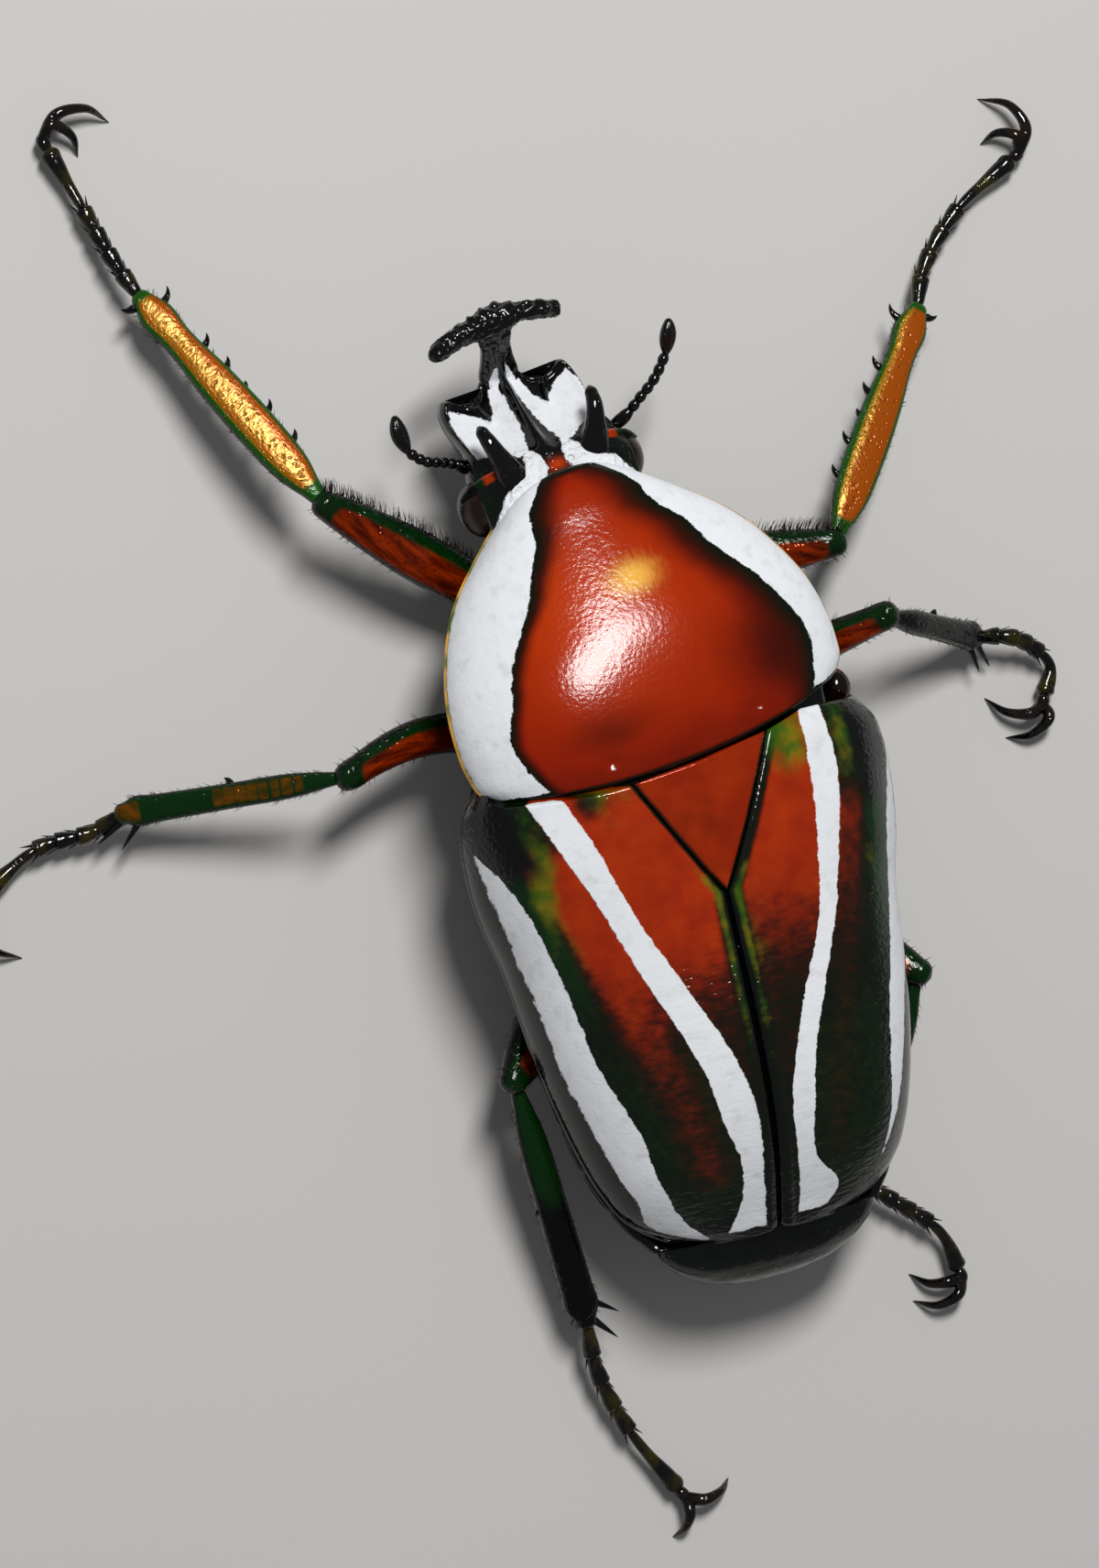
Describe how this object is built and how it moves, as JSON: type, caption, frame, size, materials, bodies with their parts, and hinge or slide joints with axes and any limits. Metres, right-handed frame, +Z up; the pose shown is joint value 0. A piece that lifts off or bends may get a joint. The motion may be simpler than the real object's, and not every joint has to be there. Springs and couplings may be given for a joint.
{
  "type": "derbys flower beetle",
  "caption": "Life-size male horned flower beetle with red, green and white shell, standing with all legs spread on a floor.",
  "frame": {"origin": "on the floor under the middle of the whole beetle's box, legs included", "axes": "+Z up, -Y towards the head, +X to the beetle's left"},
  "size_m": [0.0598, 0.0716, 0.013],
  "materials": {
    "shell_red": "deep polished red-orange shell with a dark green edge, chalky white side bands and a golden sheen",
    "wing_case_red": "glossy shell, orange-red in front and dark green to black behind, with chalky white stripes",
    "shell_white": "chalky matte white panels with glossy black rims and ridge",
    "shell_black": "glossy black shell with fine pits",
    "thigh_red": "glossy red-brown shell with black-green margins",
    "shin_gold": "glossy golden orange shell with rows of pits and green edges",
    "shin_green": "glossy dark green shell with pits",
    "eye": "polished dark brown-black"
  },
  "bodies": {
    "root": {"pronotum": "shell_red", "scutellum": "shell_red", "elytron_left": "wing_case_red", "elytron_right": "wing_case_red", "head": "shell_white", "horn": "shell_black", "brow_horn_left": "shell_black", "brow_horn_right": "shell_black", "eye_left": "eye", "eye_right": "eye", "antenna_left": "shell_black", "antenna_right": "shell_black", "antenna_club_left": "shell_black", "antenna_club_right": "shell_black", "thorax": "shell_black", "abdomen": "shell_black", "pygidium": "shell_black", "coxa_front_left": "shell_black", "femur_front_left": "thigh_red", "tibia_front_left": "shin_gold", "tarsus_front_left": "shell_black", "claws_front_left": "shell_black", "coxa_front_right": "shell_black", "femur_front_right": "thigh_red", "tibia_front_right": "shin_gold", "tarsus_front_right": "shell_black", "claws_front_right": "shell_black", "coxa_middle_left": "shell_black", "femur_middle_left": "thigh_red", "tibia_middle_left": "shin_green", "tarsus_middle_left": "shell_black", "claws_middle_left": "shell_black", "coxa_middle_right": "shell_black", "femur_middle_right": "thigh_red", "tibia_middle_right": "shin_green", "tarsus_middle_right": "shell_black", "claws_middle_right": "shell_black", "coxa_hind_left": "shell_black", "femur_hind_left": "thigh_red", "tibia_hind_left": "shin_green", "tarsus_hind_left": "shell_black", "claws_hind_left": "shell_black", "coxa_hind_right": "shell_black", "femur_hind_right": "thigh_red", "tibia_hind_right": "shin_green", "tarsus_hind_right": "shell_black", "claws_hind_right": "shell_black"}
  },
  "joints": []
}
